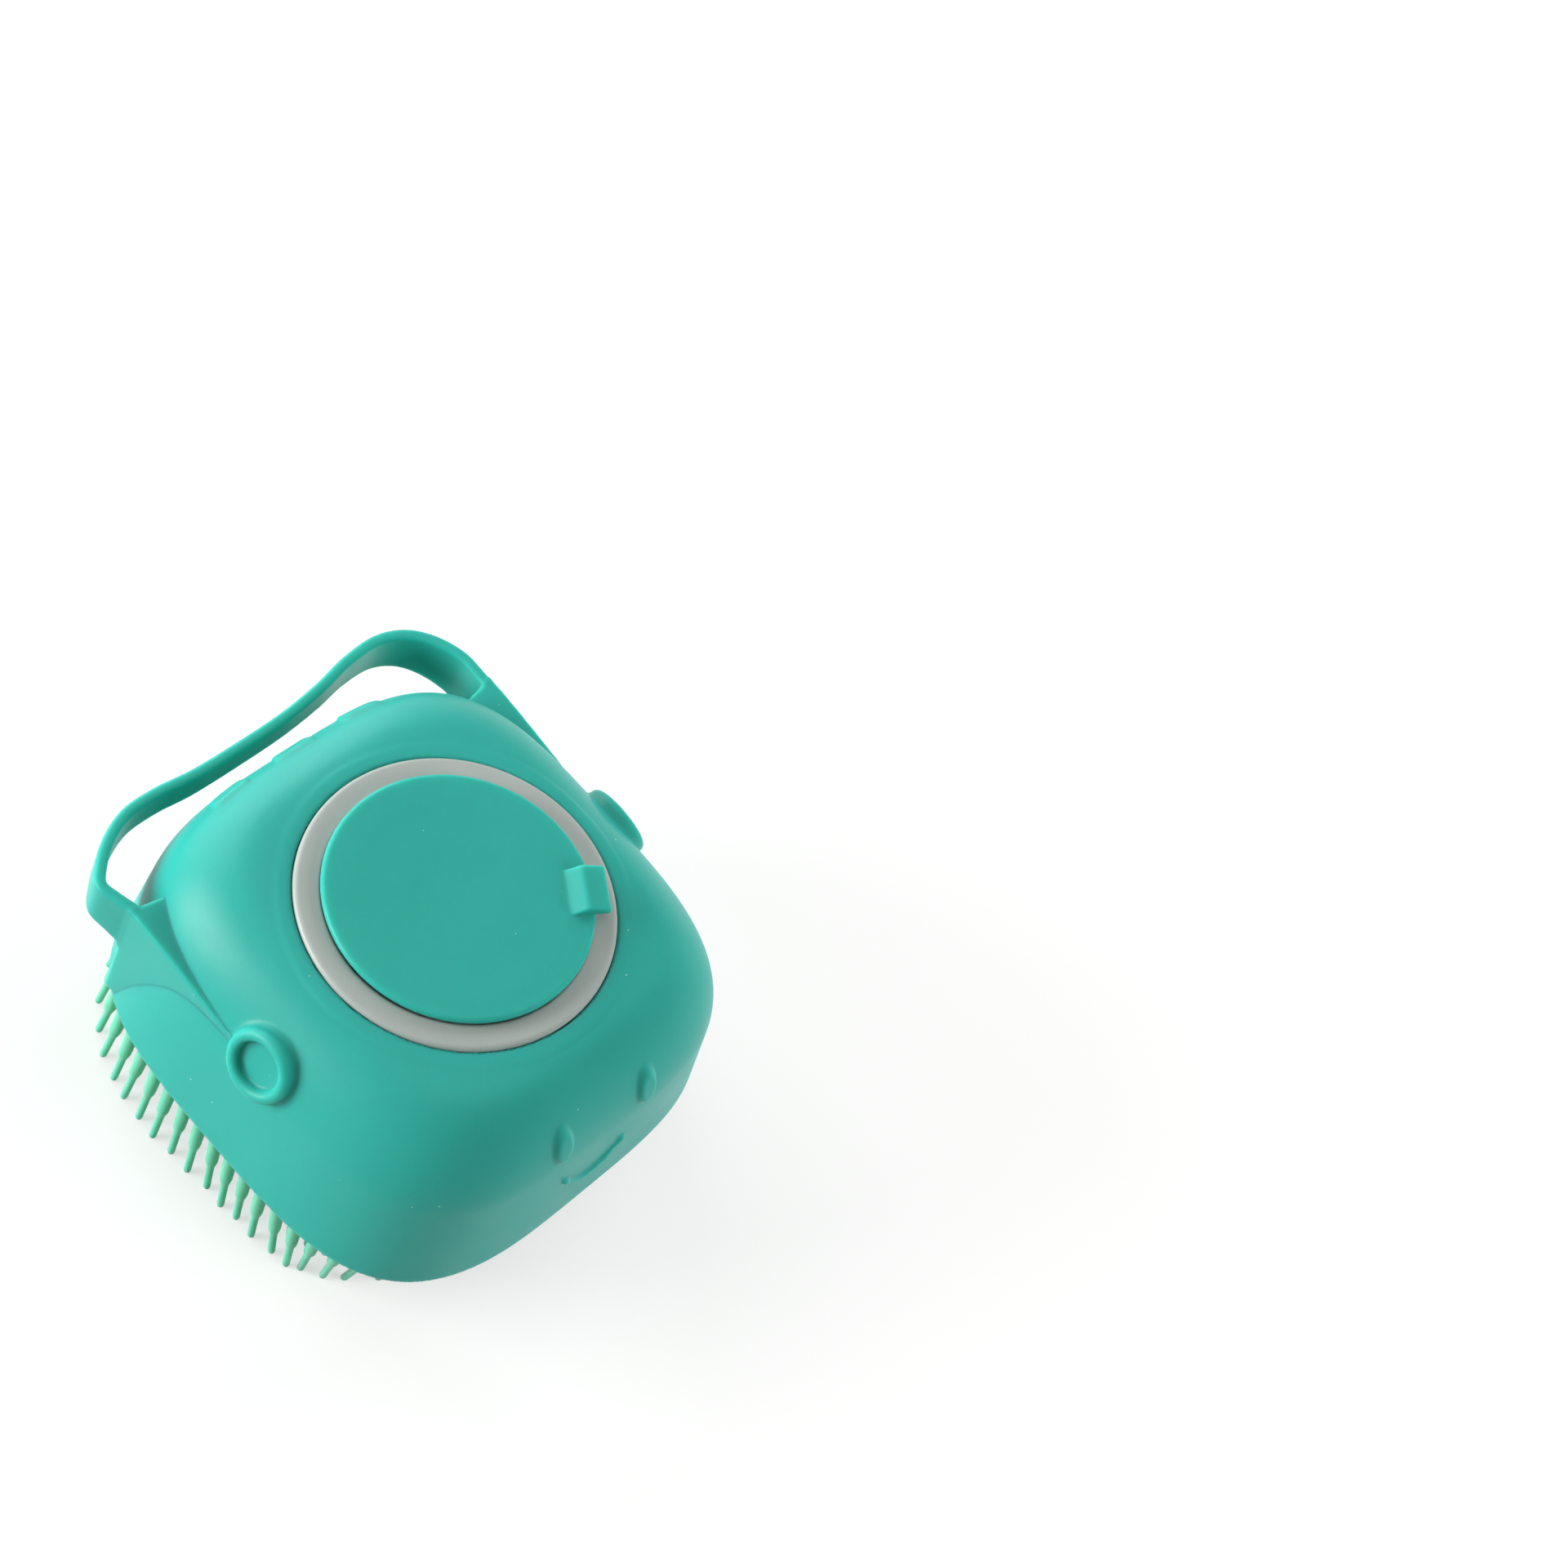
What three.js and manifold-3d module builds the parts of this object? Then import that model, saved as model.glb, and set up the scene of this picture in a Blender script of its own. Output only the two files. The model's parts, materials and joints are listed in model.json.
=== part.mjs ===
// Silicone bath and massage brush with a soap chamber, a plastic mouth and a stopper lid.
// Millimetres, +Z up. It stands on its bristle tips at Z = 0; the smiling face looks along -Y and
// the hand strap goes round the back. The origin is the middle of the overall footprint.
import * as THREE from "three";
import { mergeVertices } from "three/addons/utils/BufferGeometryUtils.js";
import Module from "manifold-3d";

const wasm = await Module();
wasm.setup();

// ---- driving dimensions -------------------------------------------------------------------
const gap = 0.3; // running clearance between neighbouring pieces
const over = 1; // how far a cutter runs past what it cuts

const bodyWidth = 80; // across the bottom edge
const bodyDepth = 78.8;
const sideDraft = 5.7; // how far a side wall leans in over the body's whole height
const frontDraft = 1.86; // the same for the front and back walls
const bodyHeight = 34; // bottom edge to the top of the mouth collar
const shoulderDrop = 16; // mouth plane down to where the walls turn into the dome
const sideRoll = 11.3; // how much further the dome pulls in at the sides, from the shoulder up
const frontRoll = 12.14; // the same for the front and back
const domeSink = 0.5; // dome top below the collar top
const squareness = 3.5; // exponent of the rounded-square outline
const wall = 2.4;

const floorThickness = 3;
const bristleLength = 13;
const bristleRoot = 2.2; // diameters
const bristleTip = 1.3;
const bristlePitch = 4.05;
const bristleMargin = 2.3; // centre of the outermost bristle to the bottom edge
const bristleSplay = 1.6; // how far the outermost tips lean outward
const splayReach = 7; // the lean fades out over this distance from the edge
const outletDiameter = 1.7;
const outletRings = [2, 5]; // how many bristle triangles out from the middle each ring lies

const collarDiameter = 49;
const collarThickness = 2.4;
const collarLand = 4.1; // width of the flat outer land
const collarEdge = 0.8; // rounding
const ledgeDepth = 1.5; // land down to the ledge under the lid
const neckBore = 30.8;
const neckWall = 1.8;
const neckLength = 6.8; // collar top to the lower end of the neck
const slotCount = 4;
const slotWidth = 1.5;
const slotDepth = 0.6; // cut into the ledge
const slotInset = 1.2; // inner end of a slot to the bore

const lipThickness = 2.2; // silicone clamped between the collar and the retainer
const flexWidth = 4; // the silicone that bends round the collar
const retainerInset = 2; // retainer's rim inside the collar's
const retainerThickness = 1.6;
const legWidth = 11.5;
const legThickness = 1.6;
const legInset = 1; // leg's outer face inside the retainer's rim
const legTravel = 4.5; // foot of a leg above the floor of the chamber
const legSlit = 2.4;
const legBridge = 5.4; // solid top of a leg, above its slit

const lidOverlap = 0.6; // lid's rim over the collar's land
const lidThickness = 1.4;
const lidEdge = 0.6; // rounding
const lidCrown = 0.9; // extra thickness over the plug
const plugClearance = 0.3; // plug to the neck's bore
const plugWall = 4.1;
const plugLength = 5.4; // below the underside of the lid's rim
const tabWidth = 7.6;
const tabRise = 1.9; // above the top of the lid
const tabInset = 4.6; // inner end of the tab inside the lid's rim
const tabRidgeInset = 2.3;
const tabOverhang = 1.4; // outer end past the lid's rim
const tabSlope = 0.4; // how far the outer end lies below the ridge
const tabAngle = -33.3; // degrees round the mouth, from +X towards +Y

const earDiameter = 11.8;
const earRim = 2.1; // width of the raised rim
const earRecessDepth = 1.9;
const earEdge = 0.95; // rounding
const earLean = 20; // degrees an ear's face leans back from upright, as the wall does
const earOut = 37.3; // middle of an ear's face from the middle plane
const earForward = 0.7; // and in front of the mouth's axis
const earDrop = 10.9; // mouth plane down to the middle of an ear
const earRoot = 8; // length of an ear, most of it inside the wall

const eyeWidth = 4.2;
const eyeHeight = 8.2;
const eyeSpacing = 16.4;
const eyeDrop = 10.3;
const reliefHeight = 1; // how far the eyes stand proud
const smileWidth = 12;
const smileSag = 3.6;
const smileDrop = 21.8; // mouth plane down to the ends of the smile
const smileStroke = 1.7;

const strapThickness = 1.8;
const strapDrop = 10; // mouth plane down to the strap's top edge
const strapRootHeight = 11;
const strapBackHeight = 5.6;
const strapTaper = 0.5; // exponent: under 1, the strap narrows soon after its roots
const strapSpan = 72.6; // across the outer faces of the strap's roots
const strapRootInset = 9.9; // rear end of the solid web inside the body's back edge
const webToEar = 4.8; // front end of the web to the rim of the ear
const webFootLift = 4; // bottom edge up to the foot of the web

const gripPadWidth = 8; // along the wall
const gripPadHeight = 3.4; // up the wall
const gripPadRelief = 1.5;
const gripPadSpacing = 13;
const gripPadLift = 1.4; // lower end of a pad above the strap's top edge

// Mesh fineness.
const outlineSegments = 64;
const roundSegments = 48;
const earSegments = 32;
const drillSegments = 6;
const strapSteps = 34;
const smileSteps = 20;
const domeLevels = [0.25, 0.45, 0.63, 0.78, 0.89, 0.96, 1]; // shares of the dome's height

// ---- derived sizes and levels -------------------------------------------------------------
const bottomEdge = bristleLength;
const floorTop = bottomEdge + floorThickness;
const mouthTop = bottomEdge + bodyHeight;
const shoulder = mouthTop - shoulderDrop;
const domeTop = mouthTop - domeSink;
const domeHalf = bodyWidth / 2 - sideDraft - sideRoll; // half the dome's top; the webs start there

const collarRadius = collarDiameter / 2;
const landRadius = collarRadius - collarLand;
const boreRadius = neckBore / 2;
const neckRadius = boreRadius + neckWall;
const mouthHole = neckRadius + gap;
const seatRadius = collarRadius + gap;
const flexRadius = collarRadius + flexWidth;
const retainerRadius = collarRadius - retainerInset;
const collarUnder = mouthTop - collarThickness;
const lipTop = collarUnder - gap;
const lipUnder = lipTop - lipThickness;
const retainerTop = lipUnder - gap;
const retainerUnder = retainerTop - retainerThickness;

const lidRadius = landRadius + lidOverlap;
const lidUnder = mouthTop + gap;
const lidTop = lidUnder + lidThickness;
const plugRadius = boreRadius - plugClearance;

const strapSide = strapSpan / 2;
const strapTop = mouthTop - strapDrop;
const bodyBack = bodyDepth / 2;
const strapRootEnd = bodyBack - strapRootInset;
const strapRootStart = earDiameter / 2 - earForward + webToEar;

// Outer face of the free strap, from its right root round the back to the left root: it bows out
// at both back corners, dips towards the body in the middle and sags a little on the left. Each
// point has its place across as a share of strapSide, and its distance behind the back edge.
const strapRoute = [
  [1, -strapRootInset],
  [0.997, -4.2],
  [0.935, 1.1],
  [0.845, 4.4],
  [0.72, 6.1],
  [0.54, 5.9],
  [0.344, 4.5],
  [0.138, 3.6],
  [-0.083, 3.35],
  [-0.358, 3.45],
  [-0.562, 4.2],
  [-0.716, 4],
  [-0.85, 2.2],
  [-0.957, -0.5],
  [-1.035, -3.9],
  [-1.02, -7.5],
  [-1, -strapRootInset],
];

// ---- colours ------------------------------------------------------------------------------
const silicone = { color: 0x4bb4a5, roughness: 0.5, metalness: 0 };
const paleSilicone = { color: 0x6cc7b7, roughness: 0.5, metalness: 0 };
const plastic = { color: 0xaeb7b1, roughness: 0.4, metalness: 0 };

// ---- helpers ------------------------------------------------------------------------------
function toSolid(geometry) {
  const bare = geometry.index ? geometry.toNonIndexed() : geometry.clone();
  bare.deleteAttribute("normal");
  bare.deleteAttribute("uv");
  const merged = mergeVertices(bare, 1e-4);
  return new wasm.Manifold(
    new wasm.Mesh({
      numProp: 3,
      vertProperties: new Float32Array(merged.attributes.position.array),
      triVerts: new Uint32Array(merged.index.array),
    }),
  );
}

function toGeometry(solid) {
  const mesh = solid.getMesh();
  const geometry = new THREE.BufferGeometry();
  geometry.setAttribute("position", new THREE.BufferAttribute(mesh.vertProperties, 3));
  geometry.setIndex(new THREE.BufferAttribute(mesh.triVerts, 1));
  geometry.computeVertexNormals();
  return geometry;
}

// A closed skin through rings of equal length, each an array of Vector3, with flat ends.
function loft(rings) {
  const count = rings[0].length;
  const points = rings.flat();
  const ends = [rings[0], rings.at(-1)];
  for (const ring of ends) {
    const middle = new THREE.Vector3();
    ring.forEach((p) => middle.addScaledVector(p, 1 / count));
    points.push(middle);
  }
  const index = [];
  const [firstMiddle, lastMiddle] = [points.length - 2, points.length - 1];
  const lastStart = (rings.length - 1) * count;
  for (let i = 0; i < count; i++) {
    const next = (i + 1) % count;
    for (let k = 0; k < rings.length - 1; k++) {
      const low = k * count;
      const high = low + count;
      index.push(low + i, low + next, high + next, low + i, high + next, high + i);
    }
    index.push(firstMiddle, next, i, lastMiddle, lastStart + i, lastStart + next);
  }
  const geometry = new THREE.BufferGeometry().setFromPoints(points);
  geometry.setIndex(index);
  return geometry;
}

// A turned solid about Z from [radius, height] points listed from the axis upwards and back.
function turned(profile, segments = roundSegments) {
  const points = profile.map(([r, z]) => new THREE.Vector2(r, z));
  return toSolid(new THREE.LatheGeometry(points, segments).rotateX(Math.PI / 2));
}

function cylinder(radius, low, high, segments = roundSegments) {
  return turned([[0, low], [radius, low], [radius, high], [0, high]], segments);
}

function tube(inner, outer, low, high) {
  return cylinder(outer, low, high).subtract(cylinder(inner, low - over, high + over));
}

function block(low, high) {
  const size = high.map((v, i) => v - low[i]);
  const middle = high.map((v, i) => (v + low[i]) / 2);
  return toSolid(new THREE.BoxGeometry(...size).translate(...middle));
}

// ---- the body's outline -------------------------------------------------------------------
// Half width and half depth of the outside at a height above the bristle tips.
function outline(z) {
  const up = (z - bottomEdge) / (domeTop - bottomEdge);
  const rise = THREE.MathUtils.clamp((z - shoulder) / (domeTop - shoulder), 0, 1);
  const roll = 1 - Math.sqrt(1 - rise * rise);
  return [
    bodyWidth / 2 - sideDraft * up - sideRoll * roll,
    bodyDepth / 2 - frontDraft * up - frontRoll * roll,
  ];
}

function outlineRing(halfWidth, halfDepth, z) {
  return Array.from({ length: outlineSegments }, (_, i) => {
    const angle = (i / outlineSegments) * 2 * Math.PI;
    const [c, s] = [Math.cos(angle), Math.sin(angle)];
    const power =
      Math.abs(c / halfWidth) ** squareness + Math.abs(s / halfDepth) ** squareness;
    const radius = power ** (-1 / squareness);
    return new THREE.Vector3(radius * c, radius * s, z);
  });
}

// The filled body, or its offset: grow is outward, so a negative one gives the hollow inside.
function bodySolid(low, grow = 0) {
  const wallRings = [low, (low + shoulder) / 2, shoulder];
  const domeRings = domeLevels.map((t) => shoulder + t * (domeTop - shoulder));
  const rings = [...wallRings, ...domeRings].map((z) => {
    const [w, d] = outline(z);
    const lift = z > shoulder ? (grow * (z - shoulder)) / (domeTop - shoulder) : 0;
    return outlineRing(w + grow, d + grow, z + lift);
  });
  return toSolid(loft(rings));
}

// ---- silicone body ------------------------------------------------------------------------
const bodyOutside = bodySolid(floorTop + gap);
const bodyInside = bodySolid(floorTop - over, -wall);
const bodyKeepOut = bodySolid(bottomEdge - over, gap);

function bodyShell() {
  const flexingArea = cylinder(flexRadius + gap / 2, shoulder + gap, mouthTop + over);
  return bodyOutside.subtract(bodyInside).subtract(flexingArea);
}

function mouthDiaphragm() {
  const dome = bodyOutside.subtract(bodyInside);
  const area = cylinder(flexRadius - gap / 2, shoulder + gap, mouthTop + over);
  const collarWell = tube(mouthHole, seatRadius + wall, lipUnder, domeTop);
  const rim = collarWell.intersect(bodyOutside);
  return dome
    .intersect(area)
    .add(rim)
    .subtract(cylinder(seatRadius, lipTop, mouthTop + over))
    .subtract(cylinder(mouthHole, shoulder, mouthTop + over));
}

// ---- bristle pad --------------------------------------------------------------------------
// Distance from a point to the bottom edge, measured along the ray from the middle.
function edgeDistance(x, y) {
  const power =
    Math.abs(x / (bodyWidth / 2)) ** squareness + Math.abs(y / (bodyDepth / 2)) ** squareness;
  return power === 0 ? Infinity : Math.hypot(x, y) * (power ** (-1 / squareness) - 1);
}

function bristle(x, y) {
  const fade = 1 - (edgeDistance(x, y) - bristleMargin) / splayReach;
  const lean = fade > 0 ? (bristleSplay * fade) / Math.hypot(x, y) : 0;
  const ring = (radius, z, shift) =>
    [0.25, 0.75, 1.25, 1.75].map((turn) => {
      const angle = turn * Math.PI;
      return new THREE.Vector3(
        x * (1 + shift) + radius * Math.cos(angle),
        y * (1 + shift) + radius * Math.sin(angle),
        z,
      );
    });
  return toSolid(
    loft([ring(bristleTip / 2, 0, lean), ring(bristleRoot / 2, bottomEdge + over, 0)]),
  );
}

function bristlePad() {
  const rings = [bottomEdge, floorTop].map((z) => outlineRing(...outline(z), z));
  const rowPitch = (bristlePitch * Math.sqrt(3)) / 2;
  const rows = Math.ceil(bodyDepth / 2 / rowPitch);
  const columns = Math.ceil(bodyWidth / 2 / bristlePitch);
  let pad = toSolid(loft(rings));
  for (let row = -rows; row <= rows; row++) {
    const shift = row % 2 ? bristlePitch / 2 : 0;
    for (let column = -columns; column <= columns; column++) {
      const [x, y] = [column * bristlePitch + shift, row * rowPitch];
      if (edgeDistance(x, y) >= bristleMargin) pad = pad.add(bristle(x, y));
    }
  }
  const drill = cylinder(outletDiameter / 2, bottomEdge - over, floorTop + over, drillSegments);
  for (const ring of outletRings) {
    const outlet = drill.translate([0, (ring * bristlePitch) / Math.sqrt(3), 0]);
    for (let turn = 0; turn < 360; turn += 60) pad = pad.subtract(outlet.rotate([0, 0, turn]));
  }
  return pad;
}

// ---- hand strap ---------------------------------------------------------------------------
// The web between the strap and the side wall, which stands straight up to a flat top.
function strapRoot(side) {
  const web = block(
    [domeHalf, strapRootStart, bottomEdge + webFootLift],
    [strapSide, strapRootEnd, strapTop],
  );
  const root = web.subtract(bodyKeepOut);
  return side > 0 ? root : root.mirror([1, 0, 0]);
}

function handStrap() {
  const route = strapRoute.map(([u, v]) => new THREE.Vector3(u * strapSide, bodyBack + v, 0));
  const curve = new THREE.CatmullRomCurve3(route, false, "centripetal");
  const rings = [];
  for (let i = 0; i <= strapSteps; i++) {
    const t = i / strapSteps;
    const atRoot = i === 0 || i === strapSteps;
    const outer = curve.getPointAt(t);
    const along = atRoot ? new THREE.Vector3(0, i ? -1 : 1, 0) : curve.getTangentAt(t);
    const inward = new THREE.Vector3(-along.y, along.x, 0).setLength(strapThickness);
    if (atRoot) outer.y += gap;
    const inner = outer.clone().add(inward);
    const narrowed = Math.sin(Math.PI * t) ** strapTaper;
    const low = strapTop - THREE.MathUtils.lerp(strapRootHeight, strapBackHeight, narrowed);
    rings.push([
      new THREE.Vector3(outer.x, outer.y, low),
      new THREE.Vector3(inner.x, inner.y, low),
      new THREE.Vector3(inner.x, inner.y, strapTop),
      new THREE.Vector3(outer.x, outer.y, strapTop),
    ]);
  }
  return toSolid(loft(rings));
}

// ---- ears and face ------------------------------------------------------------------------
function earRing(side) {
  const radius = earDiameter / 2;
  const hollow = radius - earRim;
  const profile = [
    [0, -earRoot],
    [radius, -earRoot],
    [radius, -earEdge],
    [radius - earEdge * 0.35, -earEdge * 0.3],
    [radius - earEdge, 0],
    [hollow + earEdge * 0.6, 0],
    [hollow, -earEdge * 0.6],
    [hollow, -earRecessDepth],
    [0, -earRecessDepth],
  ];
  const ear = turned(profile, earSegments)
    .rotate([0, 90 - earLean, 0])
    .translate([earOut, -earForward, mouthTop - earDrop])
    .subtract(bodyKeepOut);
  return side > 0 ? ear : ear.mirror([1, 0, 0]);
}

// Distance from the middle plane to the front or back wall, at a place across and a height.
function wallDepth(x, z) {
  const [w, d] = outline(z);
  return d * (1 - Math.abs(x / w) ** squareness) ** (1 / squareness);
}

function eye(side) {
  const x = (side * eyeSpacing) / 2;
  const z = mouthTop - eyeDrop;
  const lean = Math.atan2(wallDepth(x, z - over) - wallDepth(x, z + over), 2 * over);
  const oval = new THREE.SphereGeometry(1, 20, 14)
    .scale(eyeWidth / 2, reliefHeight * 2, eyeHeight / 2)
    .rotateX(-lean)
    .translate(x, reliefHeight - wallDepth(x, z), z);
  return toSolid(oval).subtract(bodyKeepOut);
}

function smileRidge() {
  const half = smileWidth / 2;
  const points = [-1, -0.75, -0.45, 0, 0.45, 0.75, 1].map((t) => {
    const z = smileMiddle + smileSag * t * t;
    return new THREE.Vector3(half * t, -wallDepth(half * t, z) - gap / 2, z);
  });
  const section = new THREE.Shape().absarc(0, 0, smileStroke / 2, 0, 2 * Math.PI);
  const ridge = new THREE.ExtrudeGeometry(section, {
    extrudePath: new THREE.CatmullRomCurve3(points),
    steps: smileSteps,
    curveSegments: 5,
    bevelEnabled: false,
  });
  return toSolid(ridge).subtract(bodyKeepOut);
}

function gripPad(place) {
  const x = place * gripPadSpacing;
  const z = strapTop + gripPadLift + gripPadHeight / 2;
  const oval = new THREE.SphereGeometry(1, 20, 10)
    .scale(gripPadWidth / 2, gripPadRelief * 2, gripPadHeight / 2)
    .translate(x, wallDepth(x, z) - gripPadRelief, z);
  return toSolid(oval).subtract(bodyKeepOut);
}

// ---- plastic mouth ------------------------------------------------------------------------
function collarRing() {
  const ledge = mouthTop - ledgeDepth;
  const neckEnd = mouthTop - neckLength;
  const body = turned([
    [boreRadius, neckEnd],
    [neckRadius, neckEnd],
    [neckRadius, collarUnder],
    [collarRadius - collarEdge * 0.4, collarUnder],
    [collarRadius, collarUnder + collarEdge * 0.4],
    [collarRadius, mouthTop - collarEdge],
    [collarRadius - collarEdge * 0.3, mouthTop - collarEdge * 0.3],
    [collarRadius - collarEdge, mouthTop],
    [landRadius, mouthTop],
    [landRadius - gap, ledge],
    [boreRadius + collarEdge, ledge],
    [boreRadius + collarEdge * 0.3, ledge - collarEdge * 0.3],
    [boreRadius, ledge - collarEdge],
    [boreRadius, neckEnd],
  ]);
  const slot = block(
    [boreRadius + slotInset, -slotWidth / 2, ledge - slotDepth],
    [landRadius + gap, slotWidth / 2, mouthTop + over],
  );
  let collar = body;
  for (let i = 0; i < slotCount; i++) {
    collar = collar.subtract(slot.rotate([0, 0, (i * 360) / slotCount]));
  }
  return collar;
}

function retainerRing() {
  return tube(mouthHole, retainerRadius, retainerUnder, retainerTop);
}

function spacerLeg(side) {
  const foot = floorTop + legTravel;
  const top = retainerUnder - gap;
  const outer = retainerRadius - legInset;
  const inner = outer - legThickness;
  const plate = block([inner, -legWidth / 2, foot], [outer, legWidth / 2, top]);
  const slit = block(
    [inner - over, -legSlit / 2, foot - over],
    [outer + over, legSlit / 2, top - legBridge],
  );
  const leg = plate.subtract(slit);
  return side > 0 ? leg : leg.mirror([1, 0, 0]);
}

// ---- stopper lid --------------------------------------------------------------------------
function lidStopper() {
  const recess = plugRadius - plugWall;
  const end = lidUnder - plugLength;
  return turned([
    [0, lidUnder - lidCrown],
    [recess, lidUnder - lidCrown],
    [recess, end + lidEdge],
    [recess + lidEdge, end],
    [plugRadius - lidEdge, end],
    [plugRadius, end + lidEdge],
    [plugRadius, lidUnder],
    [lidRadius - lidEdge * 0.5, lidUnder],
    [lidRadius, lidUnder + lidEdge * 0.5],
    [lidRadius, lidTop - lidEdge],
    [lidRadius - lidEdge * 0.3, lidTop - lidEdge * 0.3],
    [lidRadius - lidEdge, lidTop],
    [0, lidTop],
  ]);
}

function lidPullTab() {
  const low = lidTop + gap;
  const high = lidTop + tabRise;
  const profile = new THREE.Shape([
    new THREE.Vector2(lidRadius - tabInset, low),
    new THREE.Vector2(lidRadius + tabOverhang, low),
    new THREE.Vector2(lidRadius + tabOverhang, high - tabSlope),
    new THREE.Vector2(lidRadius - tabRidgeInset, high),
  ]);
  const tab = new THREE.ExtrudeGeometry(profile, { depth: tabWidth, bevelEnabled: false })
    .translate(0, 0, -tabWidth / 2)
    .rotateX(Math.PI / 2)
    .rotateZ(THREE.MathUtils.degToRad(tabAngle));
  return toSolid(tab);
}

// ---- assembly -----------------------------------------------------------------------------
const sprayer = new THREE.Group();
const smileMiddle = mouthTop - smileDrop - smileSag;
const smileFront = wallDepth(0, smileMiddle) + gap / 2 + smileStroke / 2;
const strapBack = bodyBack + Math.max(...strapRoute.map(([, behind]) => behind));
sprayer.position.y = (Math.max(smileFront, bodyBack) - strapBack) / 2;

const strapGroup = new THREE.Group();
const mouthGroup = new THREE.Group();
const lidGroup = new THREE.Group();
mouthGroup.add(lidGroup);
sprayer.add(strapGroup, mouthGroup);

function place(group, name, solid, look) {
  const mesh = new THREE.Mesh(toGeometry(solid), new THREE.MeshStandardMaterial(look));
  mesh.name = name;
  group.add(mesh);
}

place(sprayer, "body_shell", bodyShell(), silicone);
place(sprayer, "mouth_diaphragm", mouthDiaphragm(), silicone);
place(sprayer, "bristle_pad", bristlePad(), paleSilicone);
for (const [side, word] of [[-1, "left"], [1, "right"]]) {
  place(sprayer, `ear_ring_${word}`, earRing(side), silicone);
  place(sprayer, `eye_${word}`, eye(side), silicone);
  place(sprayer, `strap_root_${word}`, strapRoot(side), paleSilicone);
  place(mouthGroup, `spacer_leg_${word}`, spacerLeg(side), plastic);
}
place(sprayer, "smile_ridge", smileRidge(), silicone);
[-1, 0, 1].forEach((spot, i) => {
  place(sprayer, `grip_pad_${["left", "middle", "right"][i]}`, gripPad(spot), silicone);
});
place(strapGroup, "hand_strap", handStrap(), paleSilicone);
place(mouthGroup, "collar_ring", collarRing(), plastic);
place(mouthGroup, "retainer_ring", retainerRing(), plastic);
place(lidGroup, "lid_stopper", lidStopper(), silicone);
place(lidGroup, "lid_pull_tab", lidPullTab(), silicone);

export default sprayer;
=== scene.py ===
# Silicone bath brush: a soap chamber over bristles, a plastic mouth with a stopper lid, a strap.
import json
import math

import bpy
import numpy as np
from mathutils import Euler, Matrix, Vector

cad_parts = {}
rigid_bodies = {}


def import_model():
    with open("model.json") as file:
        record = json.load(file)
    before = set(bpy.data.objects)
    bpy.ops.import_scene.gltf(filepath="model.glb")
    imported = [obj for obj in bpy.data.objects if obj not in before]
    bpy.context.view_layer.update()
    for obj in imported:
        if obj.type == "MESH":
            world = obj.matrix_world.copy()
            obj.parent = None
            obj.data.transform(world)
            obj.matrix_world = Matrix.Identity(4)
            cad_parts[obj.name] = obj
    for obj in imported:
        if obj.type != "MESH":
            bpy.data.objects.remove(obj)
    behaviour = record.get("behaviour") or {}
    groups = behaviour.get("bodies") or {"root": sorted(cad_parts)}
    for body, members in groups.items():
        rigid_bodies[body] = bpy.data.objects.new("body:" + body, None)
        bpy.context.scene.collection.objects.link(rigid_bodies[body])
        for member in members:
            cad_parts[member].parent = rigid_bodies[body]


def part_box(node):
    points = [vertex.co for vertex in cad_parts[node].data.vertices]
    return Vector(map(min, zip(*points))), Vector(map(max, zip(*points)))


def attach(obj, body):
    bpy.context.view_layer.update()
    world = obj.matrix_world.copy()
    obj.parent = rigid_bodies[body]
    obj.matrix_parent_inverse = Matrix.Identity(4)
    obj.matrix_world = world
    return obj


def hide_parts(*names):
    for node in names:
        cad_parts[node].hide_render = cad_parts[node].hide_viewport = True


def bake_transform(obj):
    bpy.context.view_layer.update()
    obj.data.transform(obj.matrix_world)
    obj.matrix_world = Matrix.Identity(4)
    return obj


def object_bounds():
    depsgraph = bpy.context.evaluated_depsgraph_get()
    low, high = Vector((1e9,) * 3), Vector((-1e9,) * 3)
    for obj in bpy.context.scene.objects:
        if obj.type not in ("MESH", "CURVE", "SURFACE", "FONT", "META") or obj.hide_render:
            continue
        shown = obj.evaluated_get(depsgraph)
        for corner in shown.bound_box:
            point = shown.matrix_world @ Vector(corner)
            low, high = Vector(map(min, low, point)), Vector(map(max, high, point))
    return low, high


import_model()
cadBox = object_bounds()
mm = 0.001


def nodeBox(name):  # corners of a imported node, in millimetres
    low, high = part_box(name)
    return np.array(low) / mm, np.array(high) / mm


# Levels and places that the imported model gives; +Z is up and the face looks along -Y.
collarLow, collarHigh = nodeBox("collar_ring")
padLow, padHigh = nodeBox("bristle_pad")
axisY = (collarLow[1] + collarHigh[1]) / 2  # the mouth's axis stands at X = 0
mouthTop = collarHigh[2]
collarRadius = (collarHigh[0] - collarLow[0]) / 2
floorTop = padHigh[2]
print("frame loaded, mouth plane at", round(mouthTop, 2), "mm")

cameraView = {
    "place": (-285.48, axisY - 140.32, 559.18),  # mm
    "turn": (31.5057, -17.1260, -44.0596),  # degrees about X, Y and Z
    "lens": 93.75,  # mm, on a 36 mm sensor
}
cameraData = bpy.data.cameras.new("camera")
cameraData.lens = cameraView["lens"]
cameraData.sensor_width = 36
cameraData.clip_start = 0.01
cameraData.clip_end = 20
camera = bpy.data.objects.new("camera", cameraData)
camera.location = Vector(cameraView["place"]) * mm
camera.rotation_euler = Euler([math.radians(a) for a in cameraView["turn"]])
bpy.context.collection.objects.link(camera)
bpy.context.scene.camera = camera


# Distance fields in millimetres: negative inside, and close to true near the surface. The last
# number handed to melt, carve, meet, softBlock, turnedBar or disc is a rounding.
def melt(a, b, radius):  # union with a fillet
    share = np.clip(0.5 + 0.5 * (b - a) / radius, 0, 1)
    return b + (a - b) * share - radius * share * (1 - share)


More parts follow.
